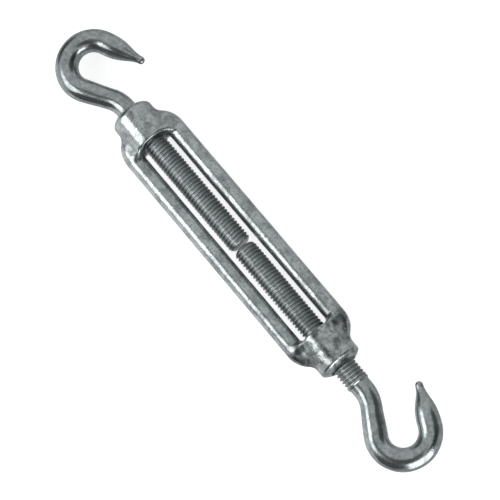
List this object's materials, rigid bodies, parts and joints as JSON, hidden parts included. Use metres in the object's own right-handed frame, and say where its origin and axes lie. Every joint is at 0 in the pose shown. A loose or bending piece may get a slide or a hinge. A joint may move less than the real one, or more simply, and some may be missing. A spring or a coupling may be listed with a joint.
{
  "type": "hook-and-hook turnbuckle",
  "caption": "Open-body rigging turnbuckle with a right-hand and a left-hand threaded hook bolt; turning the body draws the hooks together or lets them out.",
  "frame": {"origin": "middle of the open body, on the screw axis", "axes": "+X along the screw axis towards the left-hand threaded end; the rails lie in the XY plane and both hooks open towards +Y; +Z is square to the rails"},
  "size_m": [0.1847, 0.0273, 0.0146],
  "materials": {
    "body_zinc": "satin zinc plate over a rough forging",
    "bolt_zinc": "bright zinc plate"
  },
  "bodies": {
    "body": {"turnbuckle_body": "body_zinc"},
    "right_point": {"right_bolt_point": "bolt_zinc"},
    "right_hook": {"right_hook_bolt": "bolt_zinc"},
    "left_point": {"left_bolt_point": "bolt_zinc"},
    "left_hook": {"left_hook_bolt": "bolt_zinc"}
  },
  "joints": [
    {"name": "right_screw_travel", "type": "slide", "parent": "body", "child": "right_point", "axis": [1, 0, 0], "range_m": [0, 0.0363]},
    {"name": "right_screw_turn", "type": "hinge", "parent": "right_point", "child": "right_hook", "pos_m": [0.06, 0, 0], "axis": [-1, 0, 0], "range_deg": [0, 10454.4]},
    {"name": "left_screw_travel", "type": "slide", "parent": "body", "child": "left_point", "axis": [-1, 0, 0], "range_m": [0, 0.0451]},
    {"name": "left_screw_turn", "type": "hinge", "parent": "left_point", "child": "left_hook", "pos_m": [-0.06, 0, 0], "axis": [-1, 0, 0], "range_deg": [0, 12988.8]}
  ],
  "couplings": [
    {"joint": "right_screw_turn", "follows": "right_screw_travel", "rad_per_m": 5026.5},
    {"joint": "left_screw_turn", "follows": "left_screw_travel", "rad_per_m": 5026.5}
  ]
}
